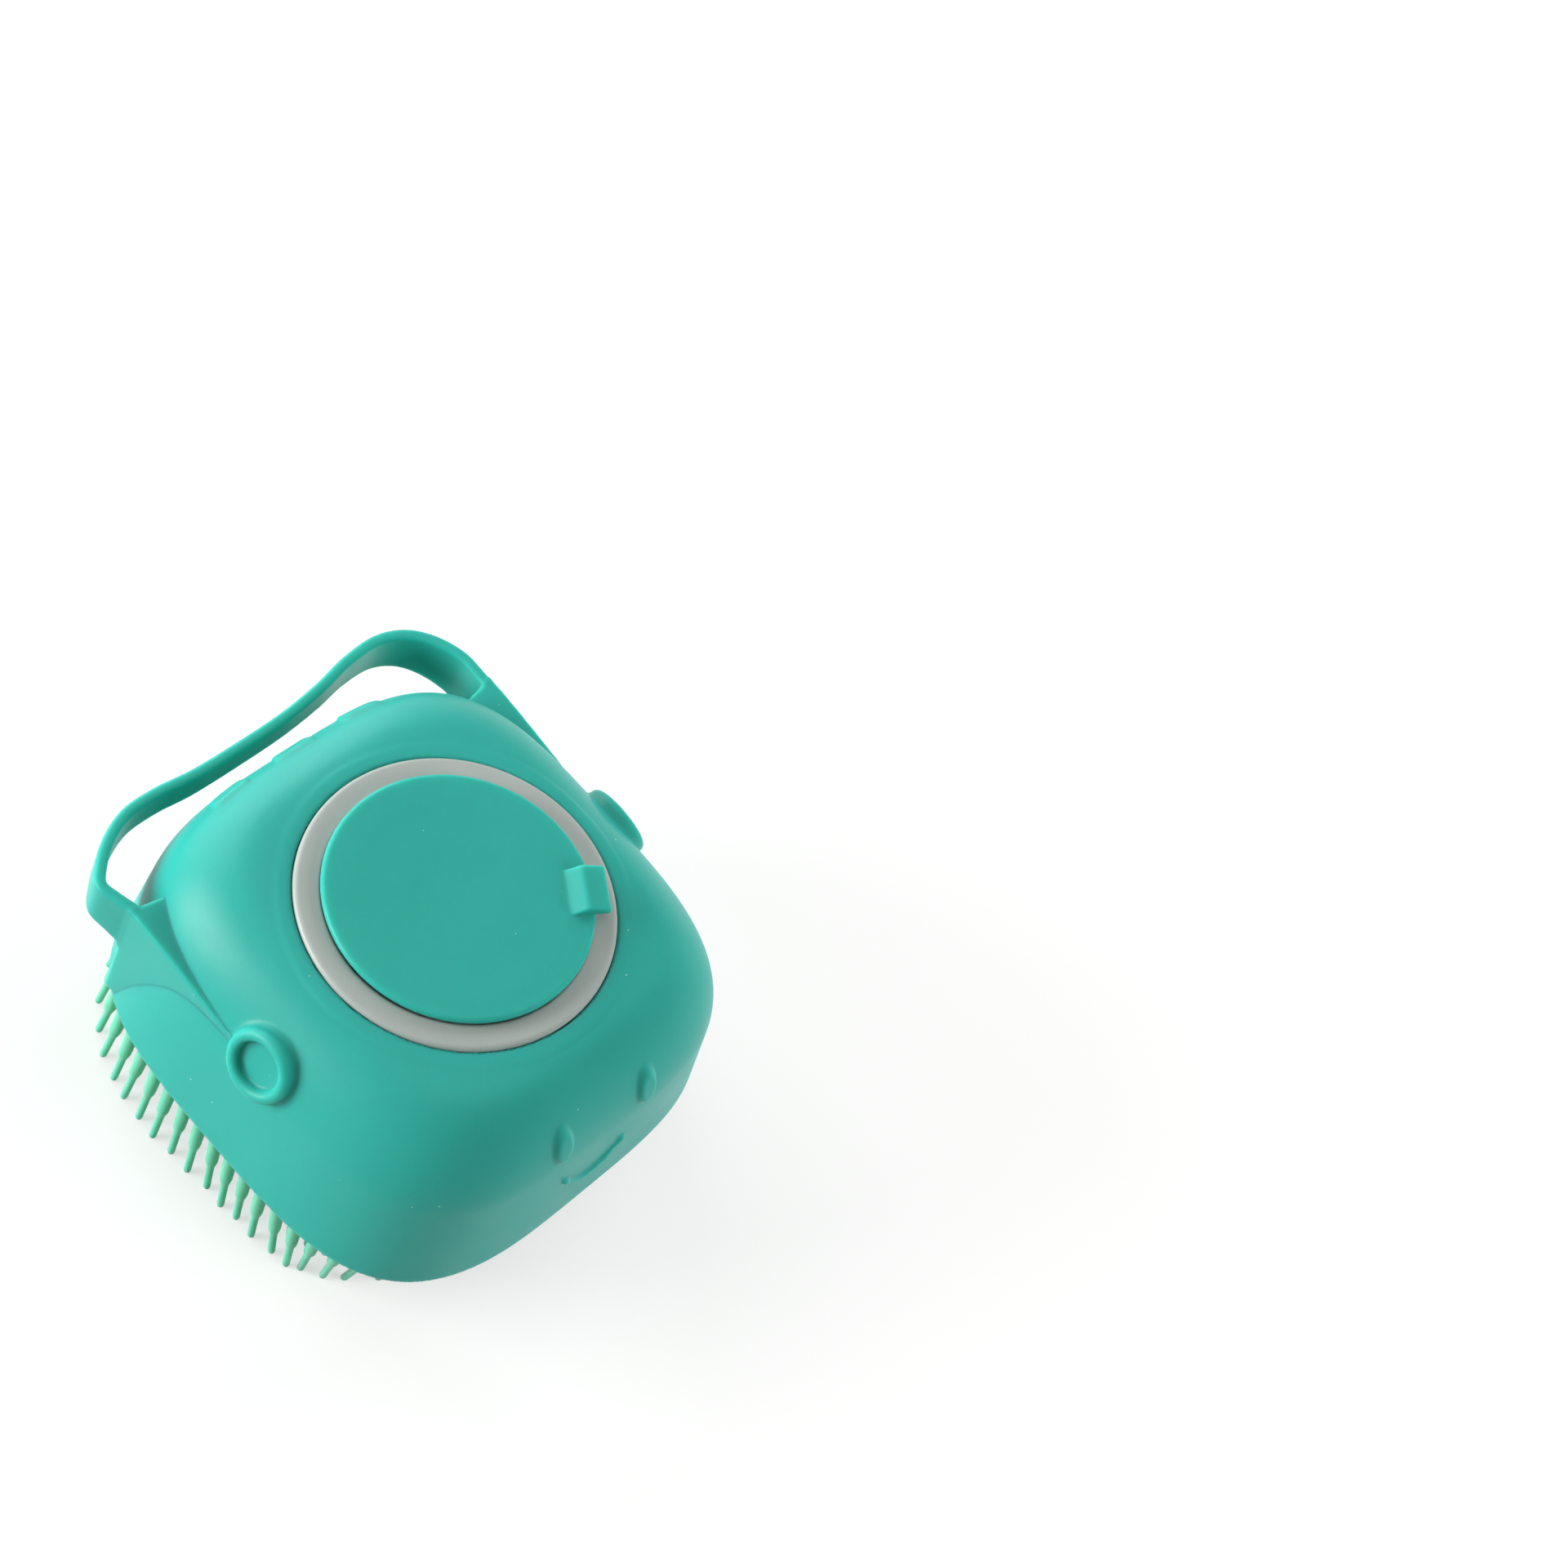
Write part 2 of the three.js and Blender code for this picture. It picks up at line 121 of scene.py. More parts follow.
def carve(a, b, radius):  # a without b, its new edge rounded
    return -melt(-a, b, radius)


def meet(a, b, radius):  # what a and b share
    return -melt(-a, -b, radius)


def softBlock(u, v, halfU, halfV, edge):  # rectangle with rounded corners
    du = np.abs(u) - halfU + edge
    dv = np.abs(v) - halfV + edge
    outside = np.hypot(np.maximum(du, 0), np.maximum(dv, 0))
    return np.minimum(np.maximum(du, dv), 0) + outside - edge


def turnedBar(r, z, inner, outer, low, high, edge):  # ring of rectangular section
    middle = (inner + outer) / 2
    return softBlock(r - middle, z - (low + high) / 2, (outer - inner) / 2, (high - low) / 2, edge)


def disc(r, z, radius, low, high, edge):
    return softBlock(r, z - (low + high) / 2, radius, (high - low) / 2, edge)


def ease(t):
    t = np.clip(t, 0, 1)
    return t * t * (3 - 2 * t)


def gridLine(low, high, step, fine=None):  # fine: a stretch with a smaller step
    if fine is None:
        return np.arange(low, high + step, step)
    fineLow, fineHigh, fineStep = fine
    before = np.arange(low, fineLow, step)
    within = np.arange(before[-1] + step, fineHigh, fineStep)
    return np.concatenate([before, within, np.arange(within[-1] + fineStep, high + step, step)])


# A closed mesh through a field's zero: one point in every grid cell that the surface crosses,
# then evened out and drawn back onto the field.
def skinOf(name, field, axes, step, rounds=3):
    value = field(*np.meshgrid(*axes, indexing="ij"))
    inside = value < 0
    cells = np.array(value.shape) - 1

    def corner(array, i, j, k):
        return array[i:cells[0] + i, j:cells[1] + j, k:cells[2] + k]

    corners = [(i, j, k) for i in (0, 1) for j in (0, 1) for k in (0, 1)]
    full = sum(corner(inside, *c).astype(np.int8) for c in corners)
    mixed = (full > 0) & (full < 8)
    number = np.full(cells, -1)
    number[mixed] = np.arange(mixed.sum())
    total = np.zeros((mixed.sum(), 3))
    count = np.zeros(mixed.sum())
    for axis in range(3):
        for start in corners:
            if start[axis]:
                continue
            end = [s + (axis == i) for i, s in enumerate(start)]
            a = corner(value, *start)[mixed]
            b = corner(value, *end)[mixed]
            crosses = (a < 0) != (b < 0)
            point = np.tile(np.array(start, float), (len(a), 1))
            point[crosses, axis] = a[crosses] / (a - b)[crosses]
            total[crosses] += point[crosses]
            count[crosses] += 1
    index = np.argwhere(mixed) + total / count[:, None]
    points = [np.interp(index[:, i], np.arange(len(axes[i])), axes[i]) for i in range(3)]
    points = np.stack(points, 1)

    quads = []
    for axis in range(3):
        first = (axis + 1) % 3
        second = (axis + 2) % 3
        before = inside.take(range(cells[axis]), axis)
        after = inside.take(range(1, cells[axis] + 1), axis)
        place = np.argwhere(before != after)
        around = (place[:, first] > 0) & (place[:, second] > 0)
        around &= (place[:, first] < cells[first]) & (place[:, second] < cells[second])
        place = place[around]
        ring = []
        for back in ((1, 1), (0, 1), (0, 0), (1, 0)):
            cell = place.copy()
            cell[:, first] -= back[0]
            cell[:, second] -= back[1]
            ring.append(number[tuple(cell.T)])
        quad = np.stack(ring, 1)
        inward = ~before[tuple(place.T)]
        quad[inward] = quad[inward][:, ::-1]
        quads.append(quad)
    quads = np.concatenate(quads)

    edges = np.concatenate([quads[:, [i, (i + 1) % 4]] for i in range(4)])
    links = np.bincount(edges[:, 0], minlength=len(points))[:, None]
    for _ in range(rounds):
        near = [np.bincount(edges[:, 0], points[edges[:, 1], i], len(points)) for i in range(3)]
        points = drawBack(field, (points + np.stack(near, 1) / links) / 2, step)
    return meshOf(name, drawBack(field, points, step), quads.tolist())


def drawBack(field, points, step):  # one step down the field's slope, onto its zero
    nudge = step * 0.02
    here = field(*points.T)
    slope = np.empty_like(points)
    for i in range(3):
        moved = points.copy()
        moved[:, i] += nudge
        slope[:, i] = (field(*moved.T) - here) / nudge
    steep = np.maximum((slope ** 2).sum(1), 0.2)
    push = np.clip(here / steep, -step / 2, step / 2)
    return points - slope * push[:, None]


def meshOf(name, points, faces):
    data = bpy.data.meshes.new(name)
    data.from_pydata((np.asarray(points) * mm).tolist(), [], faces)
    data.shade_smooth()
    piece = bpy.data.objects.new(name, data)
    bpy.context.collection.objects.link(piece)
    return piece


def pointsOf(piece):  # in millimetres
    flat = np.empty(len(piece.data.vertices) * 3)
    piece.data.vertices.foreach_get("co", flat)
    return flat.reshape(-1, 3) / mm


def thinOut(piece, plain, keep):  # fewer faces where the surface is plain or hidden
    group = piece.vertex_groups.new(name="plain")
    group.add(np.flatnonzero(plain).tolist(), 1.0, "REPLACE")
    thinner = piece.modifiers.new("thinner", "DECIMATE")
    thinner.ratio = 1 - plain.mean() * (1 - keep)
    thinner.vertex_group = "plain"
    thinner.vertex_group_factor = 1000
    final = piece.evaluated_get(bpy.context.evaluated_depsgraph_get())
    data = bpy.data.meshes.new_from_object(final)
    piece.modifiers.clear()
    piece.data = data
    piece.vertex_groups.clear()


body = {
    "halfWidth": 40.0,  # at the bottom edge
    "halfDepth": 39.4,
    "squareness": 3.5,
    "sideLean": 0.17,  # mm pulled in per mm up
    "frontLean": 0.0555,
    "sideRoll": (16.0, 11.3),  # the roll to the roof: mm below the mouth plane, mm pulled in
    "frontRoll": (16.0, 12.14),
    "roofSink": 0.5,  # roof below the collar's top
    "frontFoot": 1.0,  # the front wall's foot stands this much further out on the left
    "footTop": 12,  # below the mouth plane, where that starts
    "footHeight": 22,
    "footDepth": 25,  # from the mouth's axis forward, over which it grows
    "wall": 2.4,
    "rimEdge": 0.8,
    "step": 0.5,  # size of a face
    "fineStep": 0.36,  # the same, on the smiling face
}
lip = {
    "hole": 17.5,
    "well": collarRadius + 0.15,
    "thickness": 2.2,
    "wellDepth": 2.7,  # below the mouth plane
}
ears = {
    "radius": 5.9,
    "rim": 2.05,
    "recess": 1.6,
    "out": 37.3,  # middle of the rim's crest, from the middle plane
    "drop": 10.9,  # and below the mouth plane
    "forward": 0.7,  # and in front of the mouth's axis
    "lean": 20,  # degrees it leans back from upright
    "fillet": 0.7,
}
face = {
    "eyeAcross": 8.6,
    "eyeHalf": (2.15, 4.1),
    "eyeDrop": 10.0,
    "eyeHeight": 0.85,
    "eyeEdge": 0.95,  # over which an eye rises to that height
    "smileHalf": 6.0,
    "smileDrop": 25.4,  # its lowest point
    "smileSag": 3.6,
    "smileStroke": 0.7,
    "smileHeight": 0.65,
    "smileEdge": 0.75,
    "smileSwell": 0.15,  # small bulbs at its ends
}
gripPads = {
    "spacing": 13.0,
    "half": (4.0, 1.7),
    "corner": 1.4,
    "drop": 6.9,
    "height": 0.5,
    "slope": 0.7,  # over which a pad rises to that height
}
outlets = {
    "radius": 0.85,
    "rings": (2, 5),  # how many bristle triangles out from the middle
}
bristles = {
    "length": 13.0,
    "pitch": 4.05,
    "margin": 1.7,  # outermost bristles to the bottom edge
    "frontMargin": 2.2,  # how much more that is along the front
    "tuck": 2.6,  # how far the tips along the front lean back under the body
    "splay": 2.6,  # how far the tips lean outward at the back, less towards the front
    "splayReach": 7.0,
    "sweep": 2.0,  # how far the tips at the sides lean forward
    # Radius, and share of the length from the root: thick root, step, slim round tip.
    "profile": [
        (1.45, -0.05), (1.35, 0.0), (1.22, 0.03), (1.1, 0.08), (1.04, 0.3), (1.0, 0.47),
        (0.92, 0.505), (0.68, 0.575), (0.63, 0.61), (0.61, 0.8), (0.6, 0.95), (0.52, 0.975),
        (0.34, 0.992), (0.15, 0.9985),
    ],
    "sides": 12,
    "wander": 0.2,  # how far a tip strays, in mm
}
bottom = padLow[2] + bristles["length"]
roof = mouthTop - body["roofSink"]


def halfSize(z, atBottom, lean, roll):  # half width at a height, and how fast it changes
    drop, pulledIn = roll
    reach = drop - body["roofSink"]
    rise = np.clip((z - mouthTop + drop) / reach, 0, 0.9995)
    root = np.sqrt(1 - rise * rise)
    size = atBottom - lean * (z - bottom) - pulledIn * (1 - root)
    return size, -lean - pulledIn * rise / root / reach


def wallField(x, y, z):  # the outer wall and roof, open-ended below
    n = body["squareness"]
    w, wSlope = halfSize(z, body["halfWidth"], body["sideLean"], body["sideRoll"])
    d, dSlope = halfSize(z, body["halfDepth"], body["frontLean"], body["frontRoll"])
    foot = ease(-y / body["footDepth"]) * ease(0.5 - x / body["halfWidth"])
    d += body["frontFoot"] * foot * np.clip((mouthTop - body["footTop"] - z) / body["footHeight"], 0, 1)
    u = np.abs(x) / w
    v = np.abs(y) / d
    reach = np.maximum(u ** n + v ** n, 1e-6) ** (1 / n)
    across = u ** (n - 1) / w
    along = v ** (n - 1) / d
    steep = np.sqrt(across ** 2 + along ** 2 + (across * u * wSlope + along * v * dSlope) ** 2)
    side = (reach - 1) * reach ** (n - 1) / (steep + 1e-6)
    return meet(side, z - roof, 1.0)


def faceRelief(x, z):  # two plain oval eyes and a smile
    halfX, halfZ = face["eyeHalf"]
    aside = (np.abs(x) - face["eyeAcross"]) / halfX
    up = (z - mouthTop + face["eyeDrop"]) / halfZ
    eye = face["eyeHeight"] * ease((1 - np.hypot(aside, up)) * halfX / face["eyeEdge"])
    distance = np.full_like(x, 9.0)
    near = (np.abs(x) < 8.5) & (z < mouthTop - 18)  # the part of the wall with the smile on it
    for t in np.linspace(-1, 1, 41):
        pointX = t * face["smileHalf"]
        pointZ = mouthTop - face["smileDrop"] + face["smileSag"] * t * t
        swell = face["smileSwell"] * ease((abs(t) - 0.8) / 0.2)
        reached = np.hypot(x[near] - pointX, z[near] - pointZ) - swell
        distance[near] = np.minimum(distance[near], reached)
    smile = face["smileHeight"] * ease((face["smileStroke"] - distance) / face["smileEdge"])
    return np.maximum(eye, smile)


def padRelief(x, z):
    middle = np.clip(np.round(x / gripPads["spacing"]), -1, 1) * gripPads["spacing"]
    pad = softBlock(x - middle, z - mouthTop + gripPads["drop"], *gripPads["half"], gripPads["corner"])
    return gripPads["height"] * ease(-pad / gripPads["slope"])


def relief(x, y, z):  # how far the face and the grip pads stand off the wall
    height = np.zeros_like(x)  # worked out only where there is any
    front = (y < -20) & (np.abs(x) < 14)
    height[front] = faceRelief(x[front], z[front])
    back = (y > 20) & (np.abs(x) < 22)
    height[back] = padRelief(x[back], z[back])
    return height


def earField(x, y, z):
    lean = math.radians(ears["lean"])
    aside = np.abs(x) - ears["out"]
    up = z - mouthTop + ears["drop"]
    out = aside * math.cos(lean) + up * math.sin(lean)
    r = np.hypot(y + ears["forward"], up * math.cos(lean) - aside * math.sin(lean))
    inner = ears["radius"] - ears["rim"]
    rim = turnedBar(r, out, inner, ears["radius"], -9, 0, ears["rim"] * 0.48)
    return melt(rim, disc(r, out, inner + 0.6, -9, -ears["recess"], 0.2), 0.6)


def outletField(x, y):
    nearest = np.full_like(x, 9.0)
    for ring in outlets["rings"]:
        away = ring * bristles["pitch"] / math.sqrt(3)
        for k in range(6):
            angle = math.radians(90 + 60 * k)
            spot = np.hypot(x - away * math.cos(angle), y - away * math.sin(angle))
            nearest = np.minimum(nearest, spot - outlets["radius"])
    return nearest


def bodyField(x, yRow, z):
    y = yRow - axisY
    r = np.hypot(x, y)
    outer = wallField(x, y, z)
    skin = meet(outer - relief(x, y, z), bottom - z, body["rimEdge"])
    skin = melt(skin, earField(x, y, z), ears["fillet"])
    hollow = meet(outer + body["wall"], floorTop - z, 1.0)
    shell = carve(skin, hollow, 0.5)
    ledge = mouthTop - lip["wellDepth"]
    rim = turnedBar(r, z, lip["hole"], lip["well"] + body["wall"], ledge - lip["thickness"], roof, 0.5)
    shell = melt(shell, meet(rim, skin, 0.3), 0.6)
    shell = carve(shell, disc(r, z, lip["well"], ledge, roof + 9, 0.4), 0.35)
    low = z < floorTop + 2
    shell[low] = carve(shell[low], outletField(x[low], y[low]), 0.3)
    return shell


spare = 1.2  # grid beyond a piece's surface, in mm
siliconeBody = skinOf(
    "siliconeBody",
    bodyField,
    [
        gridLine(-body["halfWidth"] - spare, body["halfWidth"] + spare, body["step"],
                 (-11.5, 11.5, body["fineStep"])),
        gridLine(axisY - body["halfDepth"] - spare, axisY + body["halfDepth"] + spare, body["step"]),
        gridLine(bottom - spare, mouthTop + spare, body["step"],
                 (mouthTop - 27.5, mouthTop - 5, body["fineStep"])),
    ],
    body["step"],
)
spots = pointsOf(siliconeBody)
depth = wallField(spots[:, 0], spots[:, 1] - axisY, spots[:, 2])
inHollow = (depth < 0.6 - body["wall"]) & (spots[:, 2] > bottom + 1)
underside = (depth < -1.2) & (spots[:, 2] < bottom + 0.05)
outlet = outletField(spots[:, 0], spots[:, 1] - axisY) < 1
awayFromLip = np.hypot(spots[:, 0], spots[:, 1] - axisY) > lip["well"] + 2.6
upper = spots[:, 2] > mouthTop - 8
thinOut(siliconeBody, (inHollow & (awayFromLip | ~upper) | underside) & ~outlet, 0.06)
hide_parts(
    "body_shell", "mouth_diaphragm", "ear_ring_left", "ear_ring_right", "eye_left",
    "eye_right", "smile_ridge", "grip_pad_left", "grip_pad_middle", "grip_pad_right",
)
print("silicone body:", len(siliconeBody.data.polygons), "faces")

random = np.random.default_rng(7)


def edgeDistance(x, y):  # to the bottom edge, along the ray from the middle
    n = body["squareness"]
    reach = (abs(x / body["halfWidth"]) ** n + abs(y / body["halfDepth"]) ** n) ** (1 / n)
    return math.hypot(x, y) * (1 / reach - 1) if reach else 1e3


def frontShare(y):  # 0 in the middle, 1 along the front
    return min(max(-y / 15 - 1, 0), 1)


def bristlePlaces():  # in rows, each spread so that it ends at the same margin
    pitch = bristles["pitch"]
    across = np.arange(0, body["halfWidth"], 0.05)
    places = []
    for row in range(-12, 13):
        y = row * pitch * math.sqrt(3) / 2
        margin = bristles["margin"] + bristles["frontMargin"] * frontShare(y)
        room = max((x for x in across if edgeDistance(x, y) >= margin), default=0)
        shift = (row % 2) / 2
        outermost = (math.floor(room / pitch - shift) + shift) * pitch
        if outermost <= 0:
            continue
        for column in range(-11, 12):
            x = (column + shift) * pitch
            if abs(x) <= outermost + 0.01:
                places.append((x * room / outermost, y))
    return places


def bristleRings(x, y):  # points from the root down, each ring in turn
    fade = 1 - (edgeDistance(x, y) - bristles["margin"]) / bristles["splayReach"]
    fade = max(fade, 0) * min(max(0.5 + y / 30, 0), 1)
    lean = np.array([x, y]) * bristles["splay"] * fade / max(math.hypot(x, y), 1)
    front = frontShare(y)
    lean[1] += bristles["tuck"] * front - bristles["sweep"] * (1 - front) * abs(x) / body["halfWidth"]
    lean += random.normal(0, bristles["wander"], 2).clip(-0.4, 0.4)
    turn = random.uniform(0, 1) + np.arange(bristles["sides"]) / bristles["sides"] * 2 * math.pi
    circle = np.stack([np.cos(turn), np.sin(turn)], 1)
    rows = []
    for radius, share in bristles["profile"]:
        flat = circle * radius + [x, y + axisY] + lean * max(share, 0) ** 1.3
        height = np.full(len(flat), bottom - share * bristles["length"])
        rows.append(np.column_stack([flat, height]))
    return rows


def bristleFaces(start):  # walls between the rings, then both ends
    sides = bristles["sides"]
    last = start + (len(bristles["profile"]) - 1) * sides
    walls = []
    for ring in range(start, last, sides):
        for i in range(sides):
            a = ring + i
            b = ring + (i + 1) % sides
            walls.append((b, a, a + sides, b + sides))
    return walls + [[start + i for i in range(sides)], [last + i for i in reversed(range(sides))]]


bristleSpots = bristlePlaces()
points = []
faces = []
for x, y in bristleSpots:
    faces.extend(bristleFaces(len(points)))
    for ring in bristleRings(x, y):
        points.extend(ring)
bristleField = meshOf("bristleField", points, faces)
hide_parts("bristle_pad")
print("bristles:", len(bristleSpots))

strap = {
    "thickness": 1.8,
    "drop": 10.0,  # its top edge below the mouth plane
    "rootHeight": 11.0,
    "backHeight": 5.6,
    "taper": (1.4, 0.5),  # over 1, it narrows slowly behind its right root, and under 1 quickly
    "side": 36.3,  # outer face beside the body, from the middle plane
    "edge": 0.6,
    "step": 0.36,
    "planStep": 0.2,
}
web = {
    "front": 4.6,  # behind the mouth's axis
    "rear": 29.5,
    "fall": 2.3,  # its flat top falls this much towards the ear
    "fallFrom": 27,  # behind the axis, where that starts
    "fallLength": 20,
    "slant": 0.19,  # of its rear face, mm back per mm out
    "sunk": 0.9,  # how deep it reaches into the wall
    "under": 0.04,  # its feathered rim lies this far under the wall's surface
    "fillet": 0.15,
    # The rim's place: middle and half length from front to rear, least distance from the
    # middle plane, and top below the mouth plane.
    "rim": (16.8, 12.8, 29.5, 7.5),
}
# Share of "side" across, and mm behind the body's back edge.
strapRoute = [
    (1, -9.9), (0.997, -4.2), (0.935, 1.1), (0.845, 4.4), (0.72, 6.1), (0.54, 5.9), (0.344, 4.5),
    (0.138, 3.6), (-0.083, 3.35), (-0.358, 3.45), (-0.562, 4.2), (-0.716, 4), (-0.85, 2.2),
    (-0.957, -0.5), (-1.035, -3.9), (-1.02, -7.5), (-1, -9.9),
]


def curveThrough(points, samples):  # centripetal Catmull-Rom, evenly spaced
    p = np.vstack([2 * points[0] - points[1], points, 2 * points[-1] - points[-2]])
    fine = []
    for a, b, c, d in zip(p, p[1:], p[2:], p[3:]):
        t1 = np.sqrt(np.linalg.norm(b - a))
        t2 = t1 + np.sqrt(np.linalg.norm(c - b))
        t3 = t2 + np.sqrt(np.linalg.norm(d - c))
        t = np.linspace(t1, t2, 24, endpoint=False)[:, None]
        ab = (a * (t1 - t) + b * t) / t1
        bc = (b * (t2 - t) + c * (t - t1)) / (t2 - t1)
        cd = (c * (t3 - t) + d * (t - t2)) / (t3 - t2)
        abc = (ab * (t2 - t) + bc * t) / t2
        bcd = (bc * (t3 - t) + cd * (t - t1)) / (t3 - t1)
        fine.append((abc * (t2 - t) + bcd * (t - t1)) / (t2 - t1))
    fine = np.vstack(fine + [points[-1:]])
    length = np.concatenate([[0], np.cumsum(np.linalg.norm(np.diff(fine, axis=0), axis=1))])
    even = np.linspace(0, length[-1], samples)
    return np.stack([np.interp(even, length, fine[:, i]) for i in range(2)], 1)


def strapPlan():  # distance to the strap's middle line and its height, over a fine flat grid
    route = np.array([(u * strap["side"], body["halfDepth"] + v) for u, v in strapRoute])
    outer = curveThrough(route, 200)
    along = np.gradient(outer, axis=0)
    along /= np.linalg.norm(along, axis=1)[:, None]
    middle = outer + np.stack([-along[:, 1], along[:, 0]], 1) * strap["thickness"] / 2
    share = np.linspace(0, 1, len(outer))
    narrowed = np.sin(np.pi * share) ** np.where(share < 0.5, *strap["taper"])
    heights = strap["rootHeight"] + (strap["backHeight"] - strap["rootHeight"]) * narrowed
    xs = np.arange(-42, 42.1, strap["planStep"])
    ys = np.arange(24, 48.1, strap["planStep"])
    x, y = np.meshgrid(xs, ys, indexing="ij")
    distance = np.full(x.shape, 1e3)
    height = np.full(x.shape, strap["backHeight"])
    for i in range(len(middle) - 1):
        run = middle[i + 1] - middle[i]
        passed = np.clip(((x - middle[i, 0]) * run[0] + (y - middle[i, 1]) * run[1]) / (run @ run), 0, 1)
        gap = np.hypot(x - middle[i, 0] - passed * run[0], y - middle[i, 1] - passed * run[1])
        closer = gap < distance
        distance[closer] = gap[closer]
        height[closer] = (heights[i] + (heights[i + 1] - heights[i]) * passed)[closer]
    return xs, ys, distance, height


planX, planY, planDistance, planHeight = strapPlan()


def lookUp(table, x, y):
    i = np.clip((x - planX[0]) / (planX[1] - planX[0]), 0, len(planX) - 1.001)
    j = np.clip((y - planY[0]) / (planY[1] - planY[0]), 0, len(planY) - 1.001)
    i0 = i.astype(int)
    j0 = j.astype(int)
    i -= i0
    j -= j0
    near = table[i0, j0] * (1 - i) + table[i0 + 1, j0] * i
    far = table[i0, j0 + 1] * (1 - i) + table[i0 + 1, j0 + 1] * i
    return near * (1 - j) + far * j


def ribbonField(x, y, z):
    height = lookUp(planHeight, x, y)
    above = z - (mouthTop - strap["drop"] - height / 2)
    return softBlock(lookUp(planDistance, x, y), above, strap["thickness"] / 2, height / 2, strap["edge"])


def webField(x, y, z):
    out = np.abs(x)
    fallen = np.clip((web["fallFrom"] - y) / web["fallLength"], 0, 1) ** 1.3
    top = mouthTop - strap["drop"] - web["fall"] * fallen
    flank = meet(out - strap["side"], z - top, 0.5)
    rear = y - web["rear"] + web["slant"] * (strap["side"] - out)
    return meet(meet(flank, rear, 0.4), web["front"] - y, 0.5)


def strapField(x, yRow, z):
    y = yRow - axisY
    wall = wallField(x, y, z)
    solid = melt(webField(x, y, z), wall + web["under"], web["fillet"])
    solid = meet(solid, -wall - web["sunk"], 0.2)
    middle, halfLength, least, drop = web["rim"]
    beyond = np.maximum(least - np.abs(x), z - mouthTop + drop)
    solid = np.maximum(solid, np.maximum(np.abs(y - middle) - halfLength, beyond))
    solid = meet(solid, bottom + body["rimEdge"] + 0.2 - z, 0.3)
    return melt(solid, ribbonField(x, y, z), 0.5)


strapLow, strapHigh = nodeBox("hand_strap")
handStrap = skinOf(
    "handStrap",
    strapField,
    [
        gridLine(strapLow[0] - spare, strapHigh[0] + spare, strap["step"]),
        gridLine(axisY + 3, strapHigh[1] + spare, strap["step"]),
        gridLine(bottom - spare, strapHigh[2] + 4, strap["step"]),
    ],
    strap["step"],
)
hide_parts("hand_strap", "strap_root_left", "strap_root_right")
print("hand strap:", len(handStrap.data.polygons), "faces")

lid = {
    "radius": 20.7,
    "rest": mouthTop + 0.3,
    "thickness": 1.4,
    "edge": 0.65,
    "dish": 0.28,  # the top is a little hollow
    "sinkMark": 0.05,  # a faint ring over the plug
    "plug": (11.0, 15.1),
    "plugLength": 5.4,
    "plugEdge": 1.7,
    "crown": 0.9,
    "step": 0.3,
}
tab = {
    "angle": -33.3,
    "half": 3.8,
    "inner": 16.4,
    "ridge": (18.7, 1.9),  # distance out, height over the lid
    "outer": (22.4, 1.5),
    "under": 0.1,
    "rimAt": 21.5,  # inside this the tab's underside sinks into the lid
    "edge": 0.32,
}


def tabField(x, y, z):
    turn = math.radians(tab["angle"])
    along = x * math.cos(turn) + y * math.sin(turn)
    across = y * math.cos(turn) - x * math.sin(turn)
    height = z - lid["rest"] - lid["thickness"]
    ridgeAt, ridgeHeight = tab["ridge"]
    outerAt, outerHeight = tab["outer"]
    climb = ridgeHeight * (along - tab["inner"]) / (ridgeAt - tab["inner"])
    fall = ridgeHeight + (outerHeight - ridgeHeight) * (along - ridgeAt) / (outerAt - ridgeAt)
    top = meet((height - climb) * 0.76, height - fall, 0.3)
    underside = tab["under"] - 0.12 * np.maximum(tab["rimAt"] - along, 0) - height
    ends = np.maximum(along - outerAt, tab["inner"] - 0.3 - along)
    block = meet(np.abs(across) - tab["half"], ends, tab["edge"])
    return meet(meet(block, top, tab["edge"]), underside, tab["edge"])


def lidField(x, yRow, z):
    y = yRow - axisY
    r = np.hypot(x, y)
    rest = lid["rest"]
    inner, outer = lid["plug"]
    hollow = lid["dish"] * (1 - ease(r / 19.5))
    hollow += lid["sinkMark"] * ease((r - 9) / 3) * ease((17 - r) / 3)
    field = disc(r, z + hollow, lid["radius"], rest, rest + lid["thickness"], lid["edge"])
    field = melt(field, disc(r, z, outer - 0.4, rest - lid["crown"], rest + 0.6, 0.3), 0.3)
    plug = turnedBar(r, z, inner, outer, rest - lid["plugLength"], rest + 0.6, lid["plugEdge"])
    field = melt(field, plug, 0.6)
    return melt(field, tabField(x, y, z), 0.15)


lidReach = lid["radius"] + 3
lidStopper = skinOf(
    "lidStopper",
    lidField,
    [
        gridLine(-lidReach, lidReach, lid["step"]),
        gridLine(axisY - lidReach, axisY + lidReach, lid["step"]),
        gridLine(lid["rest"] - lid["plugLength"] - spare, lid["rest"] + 4.5, lid["step"]),
    ],
    lid["step"],
)
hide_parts("lid_stopper", "lid_pull_tab")
print("stopper lid:", len(lidStopper.data.polygons), "faces")

collar = {
    "thickness": 2.4,
    "edge": 0.7,
    "land": 4.1,
    "ledge": 1.5,
    "bore": 15.4,
    "neckWall": 1.8,
    "neckLength": 6.8,
    "slot": (1.5, 0.6, 1.2),  # width, depth in the ledge, distance from the bore
    "step": 0.3,
}
retainer = {
    "ring": (17.5, 22.5),
    "level": 6.8,  # its underside below the mouth plane
    "thickness": 1.6,
    "legFace": 21.5,
    "legThickness": 1.6,
    "legHalf": 5.75,
    "legFoot": 26.5,
    "slitHalf": 1.2,
    "slitTop": 12.5,
    "edge": 0.35,
    "step": 0.4,
}


